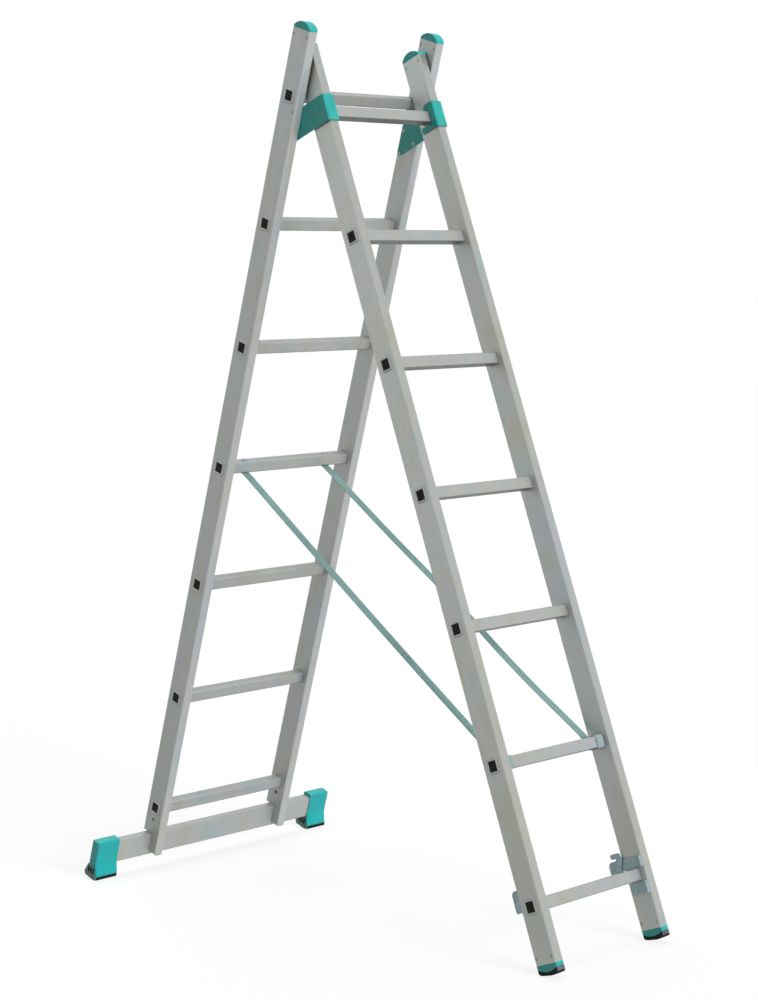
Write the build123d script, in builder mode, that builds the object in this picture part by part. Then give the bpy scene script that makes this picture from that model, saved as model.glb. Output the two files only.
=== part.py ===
from build123d import *
import os
from math import acos, atan2, cos, hypot, radians, sin, tan

# A two-section combination ladder of aluminium, standing opened as a trestle.
# The wide rear section carries the stabiliser and the guide brackets. The narrow front section
# fits between the rear stiles, tilts in the guide brackets and carries the hooks and feet.
# Frame: +X to the right along the rungs, the front section faces -Y, +Z up, ground at z = 0.
# Section coordinates are (rear, along): rear of the rung line, and along the stile from rung 1.

# Rungs
rung_count = 7
rung_pitch = 280.0
rung_size = 25.0
rung_corner = 3.0
rung_wall = 1.8
tread_grooves = 5
tread_groove_pitch = 3.4
tread_groove_width = 1.4
tread_groove_depth = 0.6
collar_lip = 2.5
collar_height = 2.2
collar_corner = 5.0
collar_round = 2.0
collar_bore_round = 1.6
bead_lip = 1.0
bead_length = 1.0
rung_hole_clearance = 0.1
punch_length = 8.0
punch_width = 2.0
punch_depth = 1.2
punch_rise = 8.0
punch_from_stile = 21.0

# Plugs in the rung ends
plug_clearance = 0.1
plug_recess = 1.6
plug_depth = 12.0
plug_wall = 1.6
plug_groove_width = 1.2
plug_groove_depth = 0.6

# Stiles
base_width = 390.0
stile_width = 22.0
stile_depth = 56.0
stile_wall = 1.8
stile_corner = 3.0
stile_above = 142.0
stile_below = 112.0
stile_foot_round = 6.0
crimp_radius = 2.9
crimp_depth = 1.4
crimp_inset = 6.5
crimp_from_end = 13.5
mark_inset = 6.5
mark_drop = 31.0
spare_hole_radius = 3.8
spare_hole_drop = 31.0
nest_side_gap = 5.0

# Caps on the stile tops
cap_edge = 2.0
cap_rise = 16.5
spigot_length = 28.0
spigot_clearance = 0.15

# How the sections stand and tilt
base_lean = 18.0
nest_clearance = 0.5
axis_above_base_rung = 22.3
axis_above_front_rung = 49.4

# Front feet
foot_edge = 7.5
foot_belly = 14.5
front_sole_height = 20.25
front_sole_facet_front = 18.0
front_sole_toe = 9.0
front_sole_toe_drop = 2.5
front_sole_toe_rise = 2.5
front_sole_bevel = 4.0

# Stabiliser
bar_height = 52.0
bar_depth = 22.0
bar_wall = 2.0
bar_corner = 3.0
bar_top_drop = 67.0
bar_front = 5.0
stabiliser_width = 690.0
pad_width = 58.0
pad_wall = 1.8
pad_top_wall = 7.5
pad_end_wall = 4.0
pad_top_round = 5.0
pad_end_round = 3.5
pad_bar_clearance = 0.15
apron_height = 28.0
apron_flare = 9.0
apron_wall = 4.0
apron_round = 50.0
base_sole_height = 11.0
base_sole_lip = 0.8
base_sole_facet = 9.0
base_sole_tail = 8.5
base_sole_tail_height = 10.0
base_sole_back_bevel = 4.0
base_sole_corner = 3.0
sole_slot_count = 3
sole_slot_width = 5.0
sole_slot_gap = 3.0
sole_slot_height = 15.0
sole_slot_depth = 5.0
bolt_radius = 4.0
bolt_head_radius = 6.5
bolt_head_height = 5.3
bolt_spacing = 16.0
bolt_bite = 14.0
bolt_clearance = 0.1
anchor_height = 34.0
anchor_depth = 18.0
anchor_clearance = 0.15

# Guide brackets
guide_sheet = 2.0
guide_height = 59.0
guide_stop_gap = 0.4
guide_lip_gap = 1.2
guide_bend = 3.5
guide_edge_margin = 3.0
guide_corner = 7.0
lip_reach_up = 1.0
lip_reach_low = 21.0
lip_corner = 12.0
lip_notch_clearance = 1.3
lip_notch_drop = 1.6
guide_rivet_drops = (-21.4, 29.3, 30.6)
guide_rivet_inset = 8.5

# Blind rivets
rivet_radius = 2.4
rivet_head_radius = 4.5
rivet_head_height = 1.5
rivet_head_taper = 30.0
rivet_tail_radius = 3.4
rivet_tail_length = 3.0
rivet_bore_radius = 1.3
rivet_bore_depth = 2.6
rivet_clearance = 0.1

# Hooks at the lowest front rung
hook_sheet = 2.5
hook_rise = 36.2
hook_drop = 39.0
hook_rung_gap = 1.0
hook_front_inset = 4.0
hook_web_inset = 7.0
hook_notch_clearance = 0.5
hook_notch_room = 5.5
hook_arm = 6.5
hook_arm_drop = 9.0
hook_corner = 10.5
hook_arm_corner = 5.0
hook_flange = 7.0
hook_arm_flange = 14.0
hook_rivet_inset = 12.0
hook_rivet_top_edge = 7.6
hook_rivet_low_edge = 5.0

# Safety catch on the right hook
catch_sheet = 2.0
catch_gap = 0.3
catch_hub = 8.5
catch_neck_front = 15.5
catch_neck_rise = 15.0
catch_finger_rise = 26.0
catch_finger_front = 11.5
catch_finger_length = 16.2
catch_finger_height = 10.8
catch_tail_front = 8.5
catch_tail_rear = 20.0
catch_tail_drop = 16.0
catch_tail_corner = 3.0
catch_axis_from_notch = 3.5
catch_axis_above_notch = 7.0
catch_pin_radius = 3.0
catch_pin_clearance = 0.05
catch_pin_head_radius = 5.0
catch_pin_head_height = 1.5

# Spreader straps
strap_width = 20.0
strap_sheet = 1.6
strap_slack = 0.25
strap_base_rung = 4
strap_front_rung = 2
strap_base_inset_left = 48.0
strap_base_inset_right = 63.0
strap_front_shift_left = 0.0
strap_front_shift_right = 8.6
strap_loop_gap = 0.4
strap_tab_rear = 9.0
strap_rivet_radius = 2.5
strap_rivet_head_radius = 8.5
strap_rivet_head_height = 1.6

# Inside corners of the hollow profiles are never sharper than this
least_corner = 0.5

# Worked-out sizes
front_width = base_width - 2 * (stile_width + nest_side_gap)
top_rung = (rung_count - 1) * rung_pitch
stile_length = stile_below + top_rung + stile_above
stile_top = top_rung + stile_above
rung_bore = rung_size - 2 * rung_wall
rung_bore_corner = max(rung_corner - rung_wall, least_corner)
rung_hole = rung_size + 2 * rung_hole_clearance
collar_size = rung_size + 2 * collar_lip
bead_size = rung_size + 2 * bead_lip
spigot_width = stile_width - 2 * (stile_wall + spigot_clearance)
spigot_depth = stile_depth - 2 * (stile_wall + spigot_clearance)
stile_inner_corner = max(stile_corner - stile_wall, least_corner)
nest_offset = stile_depth / 2 + rung_size / 2 + nest_clearance
bar_rear = bar_depth - bar_front
bar_middle = -bar_top_drop - bar_height / 2
pad_rear = bar_rear + pad_wall
pad_front = bar_front + pad_wall
pad_top = pad_top_wall - bar_top_drop
pad_under = -bar_top_drop - bar_height - pad_wall
apron_toe = pad_front + apron_flare
apron_bottom = -stile_below - apron_height
base_sole_drop = base_sole_height - apron_bottom
base_sole_front = apron_toe + base_sole_lip
base_sole_rear = pad_rear + base_sole_tail
base_contact = base_sole_front - base_sole_facet
front_sole_drop = stile_below + front_sole_height
guide_blank = 2 * (stile_depth + nest_offset)

# Where the sections stand: both soles on the ground, sharing the tilt axis at the top
base_turn = radians(base_lean)
base_z = base_sole_drop * cos(base_turn) + base_contact * sin(base_turn)
axis_base_along = top_rung + axis_above_base_rung
axis_front_along = top_rung + axis_above_front_rung
axis_z = base_z + axis_base_along * cos(base_turn) - nest_offset * sin(base_turn)
front_leg = axis_front_along + front_sole_drop
front_turn = atan2(front_sole_facet_front, front_leg)
front_turn += acos(axis_z / hypot(front_leg, front_sole_facet_front))
front_z = axis_z - axis_front_along * cos(front_turn)
front_toe_drop = front_sole_drop + front_sole_toe_drop
front_corner_drop = front_toe_drop - front_sole_toe_rise
front_bevel_drop = front_corner_drop - front_sole_bevel
rear_reach = nest_offset * cos(base_turn) + axis_base_along * sin(base_turn)
sole_tail_drop = base_sole_drop - base_sole_back_bevel
rear_end = rear_reach + base_sole_rear * cos(base_turn) + sole_tail_drop * sin(base_turn)
front_reach = axis_front_along * sin(front_turn)
front_end = front_reach + stile_depth / 2 * cos(front_turn) + front_bevel_drop * sin(front_turn)
axis_y = (front_end - rear_end) / 2
base_y = axis_y + rear_reach
front_y = axis_y - front_reach

base_along = (0, -sin(base_turn), cos(base_turn))
base_rearward = (0, cos(base_turn), sin(base_turn))
front_along = (0, sin(front_turn), cos(front_turn))
front_rearward = (0, cos(front_turn), -sin(front_turn))

# Planes of each section: across the stiles, and seen from the side with X as the normal
base_across = Plane(origin=(0, base_y, base_z), x_dir=(1, 0, 0), z_dir=base_along)
base_side = Plane(origin=(0, base_y, base_z), x_dir=base_rearward, z_dir=(1, 0, 0))
front_across = Plane(origin=(0, front_y, front_z), x_dir=(1, 0, 0), z_dir=front_along)
front_side = Plane(origin=(0, front_y, front_z), x_dir=front_rearward, z_dir=(1, 0, 0))

base_rear_axis = Axis(base_side.origin, base_rearward)
base_along_axis = Axis(base_side.origin, base_along)
front_rear_axis = Axis(front_side.origin, front_rearward)
front_along_axis = Axis(front_side.origin, front_along)

rung_places = [(0, number * rung_pitch) for number in range(rung_count)]
sides = (("left", -1), ("right", 1))

os.makedirs("parts", exist_ok=True)


def save(piece, name):
    piece.part.label = name
    export_step(piece.part, f"parts/{name}.step")


def crimp_places(end, inward):
    along = end + inward * crimp_from_end
    reach = stile_depth / 2 - crimp_inset
    return [(-reach, along), (reach, along)]


def base_point(rear, along):
    """Y and Z of a point of the rear section."""
    y = base_y + rear * base_rearward[1] + along * base_along[1]
    z = base_z + rear * base_rearward[2] + along * base_along[2]
    return y, z


def front_point(rear, along):
    """Y and Z of a point of the front section."""
    y = front_y + rear * front_rearward[1] + along * front_along[1]
    z = front_z + rear * front_rearward[2] + along * front_along[2]
    return y, z


# Rivet places of the guide brackets, each below the middle of the sheet where it crosses the
# rear stile, and of the hooks
opening = base_turn + front_turn


def guide_middle(rear):
    """How far along the rear stile the middle of the guide sheet crosses it."""
    reach = (rear + nest_offset + axis_above_front_rung * sin(opening)) / cos(opening)
    return axis_base_along - axis_above_front_rung * cos(opening) - reach * sin(opening)


guide_rivet_rears = (stile_depth / 2 - guide_rivet_inset, guide_rivet_inset - stile_depth / 2)
guide_rivet_places = [
    (guide_rivet_rears[number % 2], guide_middle(guide_rivet_rears[number % 2]) - drop)
    for number, drop in enumerate(guide_rivet_drops)
]
hook_rivet_reach = stile_depth / 2 - hook_rivet_inset
hook_rivet_alongs = (hook_rivet_low_edge - hook_drop, hook_rise - hook_rivet_top_edge)
hook_rivet_places = [
    (rear, along) for rear in (-hook_rivet_reach, hook_rivet_reach) for along in hook_rivet_alongs
]


# Stiles: hollow profiles with square rung holes and crimp marks that hold the caps and feet


def build_stile(across, side, name, sign, width, rivet_places, crimps, takes_bar):
    """A stile with its rung holes, the rivet holes of its inner wall and the crimp marks."""
    centre = sign * (width - stile_width) / 2
    inner_face = centre - sign * stile_width / 2
    with BuildPart() as stile:
        with BuildSketch(across.offset(-stile_below)):
            with Locations((centre, 0)):
                RectangleRounded(stile_width, stile_depth, stile_corner)
                RectangleRounded(
                    stile_width - 2 * stile_wall,
                    stile_depth - 2 * stile_wall,
                    stile_inner_corner,
                    mode=Mode.SUBTRACT,
                )
        extrude(amount=stile_length)
        with BuildSketch(side.offset(centre)):
            with Locations(*rung_places):
                RectangleRounded(rung_hole, rung_hole, rung_corner)
        extrude(amount=stile_width, both=True, mode=Mode.SUBTRACT)
        with BuildSketch(side.offset(inner_face)):
            with Locations(*rivet_places):
                Circle(rivet_radius + rivet_clearance)
        extrude(amount=sign * stile_width / 2, mode=Mode.SUBTRACT)
        for outward in (-1, 1):
            with BuildSketch(side.offset(centre + outward * stile_width / 2)):
                with Locations(*crimps):
                    Circle(crimp_radius)
            extrude(amount=-outward * crimp_depth, mode=Mode.SUBTRACT)
        if takes_bar:
            # The rear half is cut away for the stabiliser bar, and the lower end is rounded.
            with BuildSketch(side.offset(centre)):
                with Locations((-bar_front, -bar_top_drop)):
                    Rectangle(stile_depth, stile_below, align=(Align.MIN, Align.MAX))
            extrude(amount=stile_width, both=True, mode=Mode.SUBTRACT)
            with BuildSketch(side.offset(centre)):
                with Locations((0, -spare_hole_drop)):
                    Circle(spare_hole_radius)
            extrude(amount=stile_width, both=True, mode=Mode.SUBTRACT)
            with BuildSketch(Plane(across.origin, x_dir=(1, 0, 0), z_dir=-side.x_dir)):
                with Locations((centre, -stile_below)):
                    Rectangle(stile_width, stile_foot_round, align=(Align.CENTER, Align.MIN))
                    RectangleRounded(
                        stile_width,
                        stile_length,
                        stile_foot_round,
                        align=(Align.CENTER, Align.MIN),
                        mode=Mode.SUBTRACT,
                    )
            extrude(amount=stile_depth, both=True, mode=Mode.SUBTRACT)
    save(stile, name)


bracket_mark = (mark_inset - stile_depth / 2, top_rung - mark_drop)
for side_name, sign in sides:
    build_stile(
        base_across, base_side, f"base_stile_{side_name}", sign, base_width,
        guide_rivet_places, crimp_places(stile_top, -1) + [bracket_mark], True,
    )
    build_stile(
        front_across, front_side, f"front_stile_{side_name}", sign, front_width,
        hook_rivet_places, crimp_places(stile_top, -1) + crimp_places(-stile_below, 1), False,
    )


# Rungs: ribbed square tubes, flared over the stiles outside and beaded against them inside
strap_loop_x = front_width / 2 - stile_width - bead_length - strap_loop_gap - strap_width / 2
base_inside = base_width / 2 - stile_width
strap_starts = {"left": strap_base_inset_left - base_inside, "right": base_inside - strap_base_inset_right}
strap_ends = {
    "left": strap_front_shift_left - strap_loop_x,
    "right": strap_loop_x - strap_front_shift_right,
}


def build_rung(side, name, along, width, rivet_xs, punched):
    """One rung with the collars and beads that hold it in the two stiles."""
    length = width + 2 * collar_height
    groove_span = (tread_grooves - 1) * tread_groove_pitch
    with BuildPart() as rung:
        with BuildSketch(side.offset(-length / 2)):
            with Locations((0, along)):
                RectangleRounded(rung_size, rung_size, rung_corner)
                RectangleRounded(rung_bore, rung_bore, rung_bore_corner, mode=Mode.SUBTRACT)
            for number in range(tread_grooves):
                with Locations((number * tread_groove_pitch - groove_span / 2, along + rung_size / 2)):
                    Rectangle(tread_groove_width, 2 * tread_groove_depth, mode=Mode.SUBTRACT)
        extrude(amount=length)
        for outward in (-1, 1):
            with BuildSketch(side.offset(outward * width / 2)):
                with Locations((0, along)):
                    RectangleRounded(collar_size, collar_size, collar_corner)
                    RectangleRounded(rung_bore, rung_bore, rung_bore_corner, mode=Mode.SUBTRACT)
            extrude(amount=outward * collar_height)
            end_axis = Axis((0, 0, 0), (outward, 0, 0))
            end_face = rung.faces().filter_by(Axis.X).sort_by(end_axis)[-1]
            fillet(end_face.outer_wire().edges(), radius=collar_round)
            end_face = rung.faces().filter_by(Axis.X).sort_by(end_axis)[-1]
            fillet(end_face.inner_wires()[0].edges(), radius=collar_bore_round)
            with BuildSketch(side.offset(outward * (width / 2 - stile_width))):
                with Locations((0, along)):
                    RectangleRounded(bead_size, bead_size, rung_corner + bead_lip)
                    RectangleRounded(rung_bore, rung_bore, rung_bore_corner, mode=Mode.SUBTRACT)
            extrude(amount=-outward * bead_length)
        for x in rivet_xs:
            with BuildSketch(Plane(side.origin, x_dir=(1, 0, 0), z_dir=side.y_dir).offset(along)):
                with Locations((x, 0)):
                    Circle(strap_rivet_radius + rivet_clearance)
            extrude(amount=rung_size, both=True, mode=Mode.SUBTRACT)
        if punched:
            # Two slots are punched into the front wall beside the left stile.
            punch_x = stile_width + punch_from_stile - width / 2
            with BuildSketch(Plane(side.origin, x_dir=(1, 0, 0), z_dir=-side.x_dir).offset(rung_size / 2)):
                with Locations((punch_x, along - punch_rise), (punch_x, along + punch_rise)):
                    SlotOverall(punch_length, punch_width)
            extrude(amount=-punch_depth, mode=Mode.SUBTRACT)
    save(rung, name)


for number, (_, along) in enumerate(rung_places, start=1):
    rivet_xs = strap_starts.values() if number == strap_base_rung else ()
    build_rung(base_side, f"base_rung_{number}", along, base_width, rivet_xs, number == 1)
    build_rung(front_side, f"front_rung_{number}", along, front_width, (), False)


# Plugs: plastic cups with a cross groove that close the rung ends
def build_plugs(side, name, width):
    plug_size = rung_bore - 2 * plug_clearance
    plug_face = width / 2 + collar_height - plug_recess
    with BuildPart() as plugs:
        for outward in (-1, 1):
            with BuildSketch(side.offset(outward * plug_face)):
                with Locations(*rung_places):
                    RectangleRounded(plug_size, plug_size, rung_bore_corner)
            extrude(amount=-outward * plug_depth)
            with BuildSketch(side.offset(outward * (plug_face - plug_depth))):
                with Locations(*rung_places):
                    Rectangle(plug_size - 2 * plug_wall, plug_size - 2 * plug_wall)
            extrude(amount=outward * (plug_depth - plug_wall), mode=Mode.SUBTRACT)
            with BuildSketch(side.offset(outward * plug_face)):
                with Locations(*rung_places):
                    Rectangle(plug_groove_width, plug_size - 2 * plug_wall)
                    Rectangle(plug_size - 2 * plug_wall, plug_groove_width)
            extrude(amount=-outward * plug_groove_depth, mode=Mode.SUBTRACT)
    save(plugs, name)


build_plugs(base_side, "base_rung_plugs", base_width)
build_plugs(front_side, "front_rung_plugs", front_width)


# Caps: domed from front to rear, flush with the stile and held by a spigot inside it
def build_cap(across, side, name, sign, width):
    centre = sign * (width - stile_width) / 2
    with BuildPart() as cap:
        with BuildSketch(across.offset(stile_top)):
            with Locations((centre, 0)):
                RectangleRounded(stile_width, stile_depth, stile_corner)
        extrude(amount=cap_rise)
        with BuildSketch(side.offset(centre)):
            with BuildLine():
                Polyline(
                    (stile_depth / 2, stile_top + cap_edge),
                    (stile_depth / 2, stile_top),
                    (-stile_depth / 2, stile_top),
                    (-stile_depth / 2, stile_top + cap_edge),
                )
                ThreePointArc(
                    (-stile_depth / 2, stile_top + cap_edge),
                    (0, stile_top + cap_rise),
                    (stile_depth / 2, stile_top + cap_edge),
                )
            make_face()
        extrude(amount=stile_width, both=True, mode=Mode.INTERSECT)
        with BuildSketch(across.offset(stile_top)):
            with Locations((centre, 0)):
                RectangleRounded(spigot_width, spigot_depth, stile_inner_corner)
        extrude(amount=-spigot_length)
    save(cap, name)


for side_name, sign in sides:
    build_cap(base_across, base_side, f"base_cap_{side_name}", sign, base_width)
    build_cap(front_across, front_side, f"front_cap_{side_name}", sign, front_width)


# Front feet: a green plug with a round belly, and a rubber sole with facets to the ground
foot_top = -stile_below
foot_half = stile_depth / 2
sole_rear_drop = front_sole_drop - (foot_half - front_sole_facet_front) * tan(front_turn)
for side_name, sign in sides:
    centre = sign * (front_width - stile_width) / 2
    with BuildPart() as front_foot:
        with BuildSketch(front_across.offset(foot_top)):
            with Locations((centre, 0)):
                RectangleRounded(stile_width, stile_depth, stile_corner)
        extrude(amount=-foot_belly)
        with BuildSketch(front_side.offset(centre)):
            with BuildLine():
                Polyline(
                    (foot_half, foot_top - foot_edge),
                    (foot_half, foot_top),
                    (-foot_half, foot_top),
                    (-foot_half, foot_top - foot_edge),
                )
                ThreePointArc(
                    (-foot_half, foot_top - foot_edge),
                    (0, foot_top - foot_belly),
                    (foot_half, foot_top - foot_edge),
                )
            make_face()
        extrude(amount=stile_width, both=True, mode=Mode.INTERSECT)
        with BuildSketch(front_across.offset(foot_top)):
            with Locations((centre, 0)):
                RectangleRounded(spigot_width, spigot_depth, stile_inner_corner)
        extrude(amount=spigot_length)
    save(front_foot, f"front_foot_{side_name}")

    with BuildPart() as front_sole:
        with BuildSketch(front_across.offset(-front_toe_drop)):
            with Locations((centre, 0)):
                RectangleRounded(stile_width, stile_depth, stile_corner)
        extrude(amount=front_toe_drop - stile_below)
        with BuildSketch(front_side.offset(centre)):
            with BuildLine():
                Polyline(
                    (foot_half, foot_top - foot_edge),
                    (foot_half, -sole_rear_drop),
                    (front_sole_facet_front, -front_sole_drop),
                    (-front_sole_toe, -front_toe_drop),
                    (-foot_half, -front_corner_drop),
                    (-foot_half, foot_top - foot_edge),
                )
                ThreePointArc(
                    (-foot_half, foot_top - foot_edge),
                    (0, foot_top - foot_belly),
                    (foot_half, foot_top - foot_edge),
                )
            make_face()
            heel = vertices().group_by(Axis.X)[-1].sort_by(Axis.Y)[0]
            toe = vertices().group_by(Axis.X)[0].sort_by(Axis.Y)[0]
            chamfer([heel, toe], length=front_sole_bevel)
        extrude(amount=stile_width, both=True, mode=Mode.INTERSECT)
    save(front_sole, f"front_sole_{side_name}")


# Stabiliser: a hollow bar in the notches of the rear stiles, bolted on from behind
base_stile_xs = [sign * (base_width - stile_width) / 2 for _, sign in sides]
bolt_places = [
    (x, bar_middle + offset) for x in base_stile_xs for offset in (-bolt_spacing / 2, bolt_spacing / 2)
]
bar_half = stabiliser_width / 2 - pad_end_wall
bar_centre = (bar_rear - bar_front) / 2
base_face = Plane(base_side.origin, x_dir=(1, 0, 0), z_dir=-base_side.x_dir)

with BuildPart() as stabiliser_bar:
    with BuildSketch(base_side.offset(-bar_half)):
        with Locations((bar_centre, bar_middle)):
            RectangleRounded(bar_depth, bar_height, bar_corner)
            RectangleRounded(
                bar_depth - 2 * bar_wall,
                bar_height - 2 * bar_wall,
                max(bar_corner - bar_wall, least_corner),
                mode=Mode.SUBTRACT,
            )
    extrude(amount=2 * bar_half)
    with BuildSketch(base_face):
        with Locations(*bolt_places):
            Circle(bolt_radius + bolt_clearance)
    extrude(amount=2 * bar_depth, both=True, mode=Mode.SUBTRACT)
save(stabiliser_bar, "stabiliser_bar")

with BuildPart() as stabiliser_bolts:
    with BuildSketch(base_face.offset(-bar_rear)):
        with Locations(*bolt_places):
            Circle(bolt_radius)
    extrude(amount=bar_depth + bolt_bite)
    with BuildSketch(base_face.offset(-bar_rear)):
        with Locations(*bolt_places):
            RegularPolygon(bolt_head_radius, 6)
    extrude(amount=-bolt_head_height)
save(stabiliser_bolts, "stabiliser_bolts")

# Threaded anchor blocks hidden inside the lower ends of the rear stiles take the bolts
anchor_width = stile_width - 2 * (stile_wall + anchor_clearance)
with BuildPart() as stabiliser_anchors:
    with BuildSketch(base_face.offset(bar_front)):
        with Locations(*[(x, bar_middle) for x in base_stile_xs]):
            Rectangle(anchor_width, anchor_height)
    extrude(amount=anchor_depth)
    with BuildSketch(base_face):
        with Locations(*bolt_places):
            Circle(bolt_radius)
    extrude(amount=2 * bar_depth, both=True, mode=Mode.SUBTRACT)
save(stabiliser_anchors, "stabiliser_anchors")

# Stabiliser feet: green sleeves over the bar ends with an apron that flares in front of the sole,
# and rubber soles with ribbed ends under the sleeves
slot_pitch = sole_slot_width + sole_slot_gap
slot_span = (sole_slot_count - 1) * slot_pitch
facet_rise = base_sole_facet * tan(base_turn)
for side_name, sign in sides:
    end_face = sign * stabiliser_width / 2
    with BuildPart() as stabiliser_foot:
        with BuildSketch(base_side.offset(end_face)):
            with BuildLine():
                Polyline(
                    (pad_rear, pad_under),
                    (pad_rear, pad_top),
                    (-pad_front, pad_top),
                    (-pad_front, -stile_below),
                    (-apron_toe, apron_bottom),
                    (apron_wall - apron_toe, apron_bottom),
                    (apron_wall - pad_front, pad_under),
                    close=True,
                )
            make_face()
            fillet(vertices().group_by(Axis.Y)[-1], radius=pad_top_round)
            fillet(vertices().sort_by_distance((-pad_front, -stile_below))[0], radius=apron_round)
        extrude(amount=-sign * pad_width)
        # The rounding runs on from the top edge round the whole outer end.
        outer_face = stabiliser_foot.faces().filter_by(Axis.X).sort_by(Axis((0, 0, 0), (sign, 0, 0)))[-1]
        fillet(outer_face.edges().sort_by(base_along_axis)[-1], radius=pad_end_round)
        with BuildSketch(base_side.offset(end_face - sign * pad_end_wall)):
            with Locations((bar_centre, bar_middle)):
                RectangleRounded(
                    bar_depth + 2 * pad_bar_clearance, bar_height + 2 * pad_bar_clearance, bar_corner
                )
        extrude(amount=-sign * pad_width, mode=Mode.SUBTRACT)
    save(stabiliser_foot, f"stabiliser_foot_{side_name}")

    with BuildPart() as stabiliser_sole:
        with BuildSketch(base_side.offset(end_face + sign * base_sole_lip)):
            with BuildLine():
                Polyline(
                    (pad_rear, pad_under),
                    (apron_wall - pad_front, pad_under),
                    (apron_wall - apron_toe, apron_bottom),
                    (-base_sole_front, apron_bottom),
                    (-base_sole_front, facet_rise - base_sole_drop),
                    (-base_contact, -base_sole_drop),
                    (base_sole_rear - base_sole_back_bevel, -base_sole_drop),
                    (base_sole_rear, base_sole_back_bevel - base_sole_drop),
                    (base_sole_rear, base_sole_tail_height - base_sole_drop),
                    close=True,
                )
            make_face()
        extrude(amount=-sign * (pad_width + 2 * base_sole_lip))
        front_edges = stabiliser_sole.edges().filter_by(base_along_axis).group_by(base_rear_axis)[0]
        fillet(front_edges, radius=base_sole_corner)
        for end in (end_face + sign * base_sole_lip, end_face - sign * (pad_width + base_sole_lip)):
            inward = 1 if end < end_face - sign * pad_width / 2 else -1
            with BuildSketch(base_side.offset(end)):
                for number in range(sole_slot_count):
                    with Locations((bar_centre + number * slot_pitch - slot_span / 2, apron_bottom)):
                        Rectangle(sole_slot_width, sole_slot_height, align=(Align.CENTER, Align.MIN))
            extrude(amount=inward * sole_slot_depth, mode=Mode.SUBTRACT)
    save(stabiliser_sole, f"stabiliser_sole_{side_name}")


# Guide brackets: sheet riveted to the rear stile, bent round the front stile above and below
# the end of its top rung, which rests in the notch of the inner lip
guide_low = top_rung - guide_height / 2
cover_inside = stile_depth / 2 + guide_stop_gap
cover_outside = cover_inside + guide_sheet
plate_face = base_inside
lip_outside = front_width / 2 - stile_width - guide_lip_gap
lip_inside = lip_outside - guide_sheet
lip_span = {-1: (-lip_outside, -lip_inside), 1: (lip_inside, lip_outside)}
notch_half = rung_size / 2 + bead_lip + lip_notch_clearance
for side_name, sign in sides:
    with BuildPart() as guide_bracket:
        with BuildSketch(front_side.offset(sign * plate_face)):
            with Locations((-cover_outside, guide_low)):
                Rectangle(guide_blank, guide_height, align=Align.MIN)
        extrude(amount=-sign * guide_sheet)
        with BuildSketch(base_side.offset(sign * plate_face)):
            with Locations((stile_depth / 2 - guide_edge_margin, top_rung)):
                Rectangle(guide_blank, 2 * guide_blank, align=(Align.MIN, Align.CENTER))
        extrude(amount=-sign * guide_sheet, mode=Mode.SUBTRACT)
        fillet(guide_bracket.edges().filter_by(Axis.X).group_by(base_rear_axis)[-1], radius=guide_corner)
        with BuildSketch(front_side.offset(sign * lip_inside)):
            with Locations((-cover_outside, guide_low)):
                Rectangle(cover_outside - cover_inside, guide_height, align=Align.MIN)
        extrude(amount=sign * (plate_face - lip_inside))
        with BuildSketch(front_side.offset(sign * lip_inside)):
            with Locations((-cover_outside, guide_low)):
                Rectangle(cover_outside + lip_reach_low, guide_height, align=Align.MIN)
            with Locations((lip_reach_low, top_rung - notch_half - lip_notch_drop)):
                Rectangle(
                    lip_reach_low + notch_half,
                    2 * notch_half + lip_notch_drop,
                    align=(Align.MAX, Align.MIN),
                    mode=Mode.SUBTRACT,
                )
            with Locations((lip_reach_up, top_rung)):
                Rectangle(lip_reach_low, guide_height, align=Align.MIN, mode=Mode.SUBTRACT)
        extrude(amount=sign * guide_sheet)
        bend_edges = guide_bracket.edges().filter_by(front_along_axis).group_by(front_rear_axis)[0]
        fillet(bend_edges, radius=guide_bend)
        lip_edges = guide_bracket.edges().filter_by(Axis.X).filter_by_position(Axis.X, *lip_span[sign])
        fillet(lip_edges.group_by(front_along_axis)[-1].sort_by(front_rear_axis)[-1], radius=lip_corner)
        with BuildSketch(base_side.offset(sign * plate_face)):
            with Locations(*guide_rivet_places):
                Circle(rivet_radius + rivet_clearance)
        extrude(amount=-sign * guide_sheet, mode=Mode.SUBTRACT)
    save(guide_bracket, f"guide_bracket_{side_name}")


# Blind rivets: a head with the mandrel's hole, a shank through both walls and a set tail inside
def build_rivets(side, name, places, face, sheet):
    with BuildPart() as rivets:
        for _, sign in sides:
            head_side = side.offset(sign * (face - sheet))
            with BuildSketch(head_side):
                with Locations(*places):
                    Circle(rivet_head_radius)
            extrude(amount=-sign * rivet_head_height, taper=rivet_head_taper)
            with BuildSketch(head_side):
                with Locations(*places):
                    Circle(rivet_radius)
            extrude(amount=sign * (sheet + stile_wall + rivet_tail_length))
            with BuildSketch(side.offset(sign * (face + stile_wall))):
                with Locations(*places):
                    Circle(rivet_tail_radius)
            extrude(amount=sign * rivet_tail_length)
            with BuildSketch(head_side.offset(-sign * rivet_head_height)):
                with Locations(*places):
                    Circle(rivet_bore_radius)
            extrude(amount=sign * rivet_bore_depth, mode=Mode.SUBTRACT)
    save(rivets, name)


hook_face = front_width / 2 - stile_width
hook_front = stile_depth / 2 - hook_front_inset
hook_web_rear = stile_depth / 2 - hook_web_inset
build_rivets(base_side, "guide_rivets", guide_rivet_places, plate_face, guide_sheet)
build_rivets(front_side, "hook_rivets", hook_rivet_places, hook_face, hook_sheet)


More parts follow.
